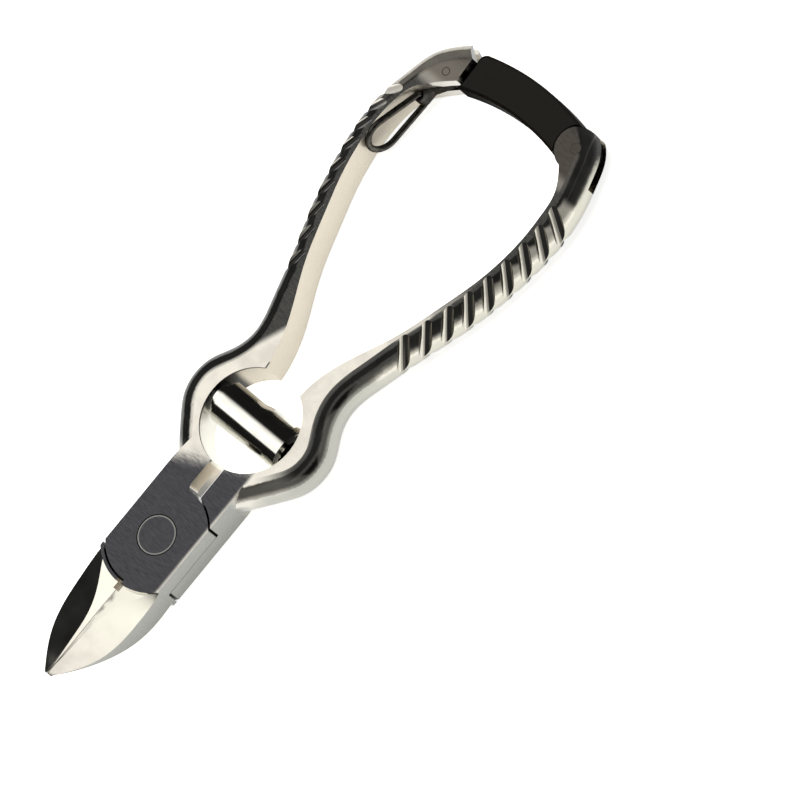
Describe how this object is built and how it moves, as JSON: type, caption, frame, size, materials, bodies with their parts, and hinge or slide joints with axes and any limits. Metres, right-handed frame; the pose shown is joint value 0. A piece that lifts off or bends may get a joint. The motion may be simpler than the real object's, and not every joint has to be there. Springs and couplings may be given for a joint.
{
  "type": "toenail nipper",
  "caption": "Lap-joint toenail nipper with concave cutting jaws, barrel spring between bowed handles and a swinging latch bar with wire-loop catch.",
  "frame": {"origin": "pivot axis in the flat back face that the tool rests on", "axes": "+Y along the tool from the cutting tip to the handle ends, +Z out of the front face, +X towards the handle that carries the latch bar"},
  "size_m": [0.0476, 0.1387, 0.0092],
  "materials": {
    "lever_steel": "satin ground lap and flats, polished rims",
    "rivet_steel": "ground flush with the joint",
    "spring_steel": "bright rolled strip",
    "stud_steel": "bright",
    "bar_steel": "dark satin",
    "pin_steel": "ground flush",
    "catch_steel": "stamped",
    "wire_steel": "drawn wire"
  },
  "bodies": {
    "front_lever": {"front_lever": "lever_steel", "pivot_rivet": "rivet_steel", "front_spring_stud": "stud_steel", "catch_pin": "pin_steel", "barrel_spring": "spring_steel", "pawl_spring": "wire_steel"},
    "rear_lever": {"rear_lever": "lever_steel", "rear_spring_stud": "stud_steel", "latch_hinge_pin": "pin_steel"},
    "latch_bar": {"latch_bar": "bar_steel"},
    "catch": {"catch_pawl": "catch_steel", "release_loop": "wire_steel"}
  },
  "joints": [
    {"name": "lever_pivot", "type": "hinge", "parent": "front_lever", "child": "rear_lever", "pos_m": [0, 0, 0], "axis": [0, 0, -1], "range_deg": [0, 13], "deforming": ["barrel_spring"]},
    {"name": "latch_bar_swing", "type": "hinge", "parent": "rear_lever", "child": "latch_bar", "pos_m": [0.0161, 0.1018, 0], "axis": [0, 0, -1], "range_deg": [0, 110]},
    {"name": "catch_release", "type": "hinge", "parent": "front_lever", "child": "catch", "pos_m": [-0.0145, 0.0979, 0], "axis": [0, 0, 1], "range_deg": [0, 12], "deforming": ["pawl_spring"]}
  ]
}
